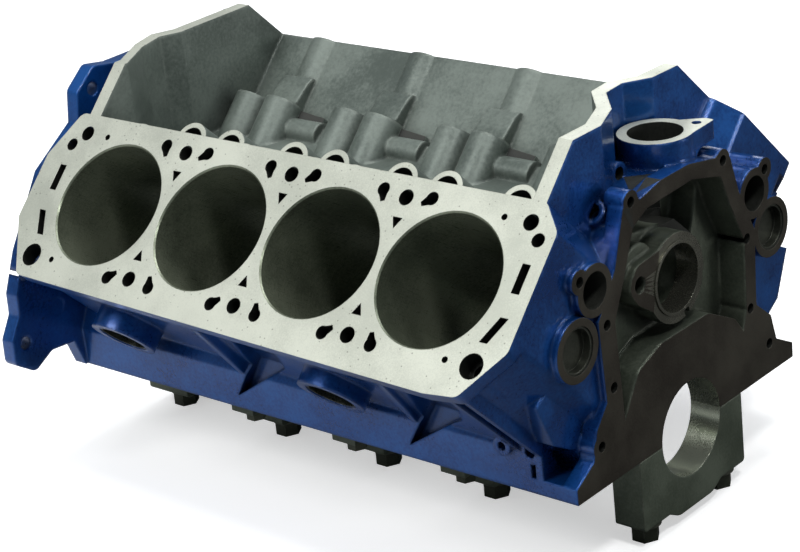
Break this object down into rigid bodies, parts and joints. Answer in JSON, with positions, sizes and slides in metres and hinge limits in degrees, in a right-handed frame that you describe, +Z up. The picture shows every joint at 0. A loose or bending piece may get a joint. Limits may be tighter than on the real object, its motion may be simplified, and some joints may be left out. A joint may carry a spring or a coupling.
{
  "type": "engine block",
  "caption": "Cast V8 cylinder block with staggered banks, open lifter valley, main bearing caps and front timing face.",
  "frame": {"origin": "on the crankshaft axis in the plane of the front face", "axes": "+X along the crankshaft towards the front, +Y to the left bank, +Z up"},
  "size_m": [0.521, 0.4436, 0.32],
  "materials": {
    "casting": "glossy blue paint outside, machined faces and bores bare, valley grey",
    "cap_iron": "dark oiled iron",
    "bolt_steel": "black oxide",
    "washer_steel": "hardened, dark",
    "plug_steel": "plated",
    "bearing_metal": "plain bearing metal"
  },
  "bodies": {
    "root": {"cam_bearing_1": "bearing_metal", "cam_bearing_2": "bearing_metal", "cam_bearing_3": "bearing_metal", "cam_bearing_4": "bearing_metal", "cam_bearing_5": "bearing_metal", "cap_1_left_inner_bolt": "bolt_steel", "cap_1_left_inner_washer": "washer_steel", "cap_1_right_inner_bolt": "bolt_steel", "cap_1_right_inner_washer": "washer_steel", "cap_2_left_inner_bolt": "bolt_steel", "cap_2_left_inner_washer": "washer_steel", "cap_2_left_outer_bolt": "bolt_steel", "cap_2_left_outer_washer": "washer_steel", "cap_2_right_inner_bolt": "bolt_steel", "cap_2_right_inner_washer": "washer_steel", "cap_2_right_outer_bolt": "bolt_steel", "cap_2_right_outer_washer": "washer_steel", "cap_3_left_inner_bolt": "bolt_steel", "cap_3_left_inner_washer": "washer_steel", "cap_3_left_outer_bolt": "bolt_steel", "cap_3_left_outer_washer": "washer_steel", "cap_3_right_inner_bolt": "bolt_steel", "cap_3_right_inner_washer": "washer_steel", "cap_3_right_outer_bolt": "bolt_steel", "cap_3_right_outer_washer": "washer_steel", "cap_4_left_inner_bolt": "bolt_steel", "cap_4_left_inner_washer": "washer_steel", "cap_4_left_outer_bolt": "bolt_steel", "cap_4_left_outer_washer": "washer_steel", "cap_4_right_inner_bolt": "bolt_steel", "cap_4_right_inner_washer": "washer_steel", "cap_4_right_outer_bolt": "bolt_steel", "cap_4_right_outer_washer": "washer_steel", "cap_5_left_inner_bolt": "bolt_steel", "cap_5_left_inner_washer": "washer_steel", "cap_5_right_inner_bolt": "bolt_steel", "cap_5_right_inner_washer": "washer_steel", "cylinder_block": "casting", "left_core_plug_1": "plug_steel", "left_core_plug_2": "plug_steel", "left_front_core_plug": "plug_steel", "left_gallery_plug": "plug_steel", "main_cap_1": "cap_iron", "main_cap_2": "cap_iron", "main_cap_3": "cap_iron", "main_cap_4": "cap_iron", "main_cap_5": "cap_iron", "rear_cam_plug": "plug_steel", "right_core_plug_1": "plug_steel", "right_core_plug_2": "plug_steel", "right_front_core_plug": "plug_steel", "right_gallery_plug": "plug_steel"}
  },
  "joints": []
}
